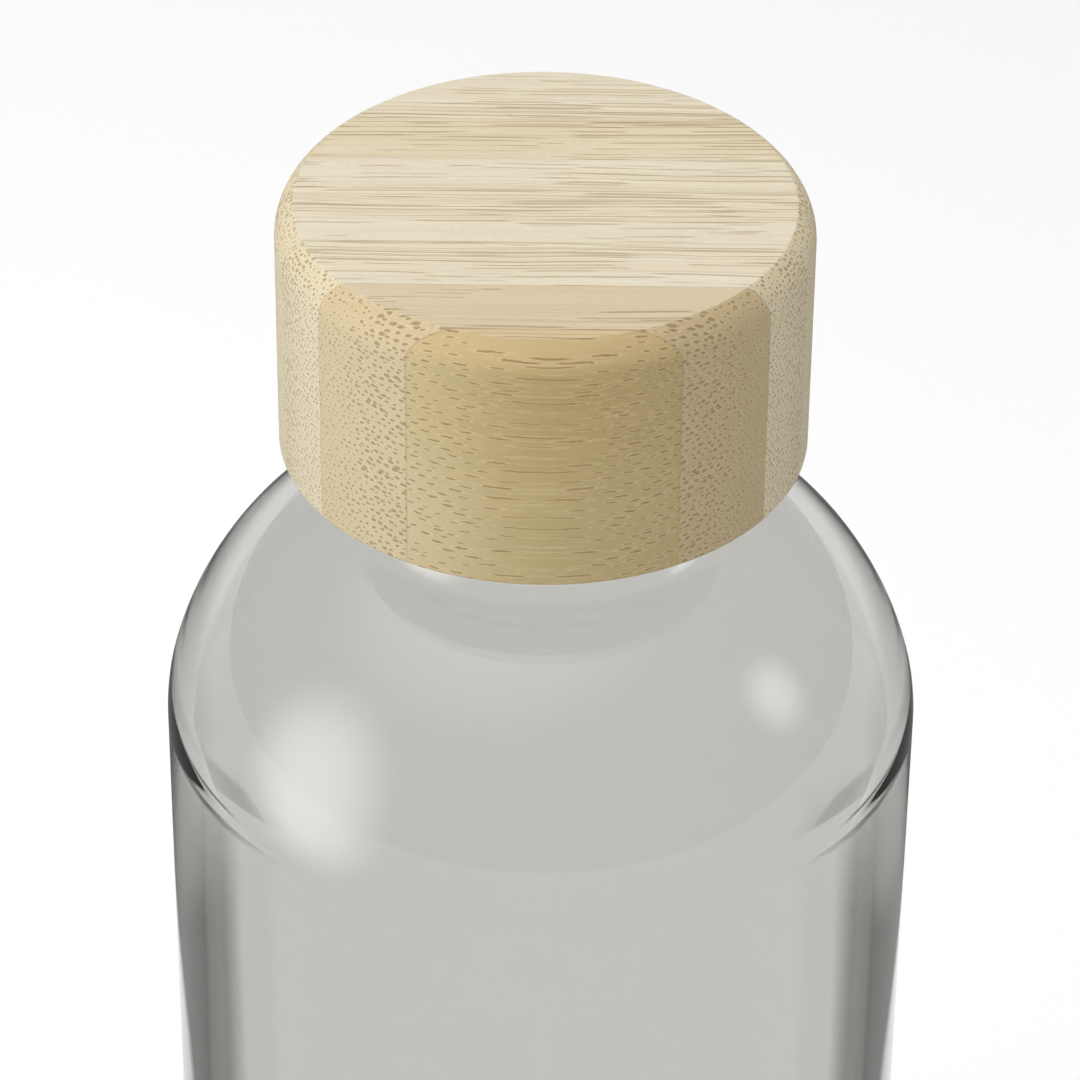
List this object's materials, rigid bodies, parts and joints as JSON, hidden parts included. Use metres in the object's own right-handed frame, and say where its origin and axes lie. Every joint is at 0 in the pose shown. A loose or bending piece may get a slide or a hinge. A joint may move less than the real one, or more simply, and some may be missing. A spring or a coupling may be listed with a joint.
{
  "type": "glass water bottle",
  "caption": "Clear glass drinking bottle with a straight round body, a round shoulder, a threaded neck and a cylindrical screw-on lid of laminated bamboo.",
  "frame": {"origin": "centre of the base, on the surface that the bottle stands on", "axes": "+Z along the bottle's axis, from the base to the lid; +X along the bamboo's fibres; -Y towards the lid's front board"},
  "size_m": [0.073, 0.073, 0.2272],
  "materials": {
    "clear_glass": "polished, slightly smoky",
    "pale_bamboo": "sanded, unvarnished",
    "tan_bamboo": "sanded, unvarnished",
    "white_polypropylene": "moulded",
    "clear_silicone": "smooth"
  },
  "bodies": {
    "bottle": {"glass_bottle": "clear_glass"},
    "seal": {"seal_ring": "clear_silicone"},
    "lid": {"threaded_insert": "white_polypropylene", "bamboo_board_1": "tan_bamboo", "bamboo_board_2": "tan_bamboo", "bamboo_board_3": "pale_bamboo", "bamboo_board_4": "pale_bamboo", "bamboo_board_5": "tan_bamboo", "bamboo_board_6": "tan_bamboo", "bamboo_board_7": "pale_bamboo", "bamboo_board_8": "pale_bamboo"}
  },
  "joints": [
    {"name": "lid_rise", "type": "slide", "parent": "bottle", "child": "seal", "axis": [0, 0, 1], "range_m": [0, 0.0212]},
    {"name": "lid_turn", "type": "hinge", "parent": "seal", "child": "lid", "pos_m": [0, 0, 0.2015], "axis": [0, 0, 1], "range_deg": [0, 1800]}
  ],
  "couplings": [
    {"joint": "lid_rise", "follows": "lid_turn", "m_per_rad": 0.0006737}
  ]
}
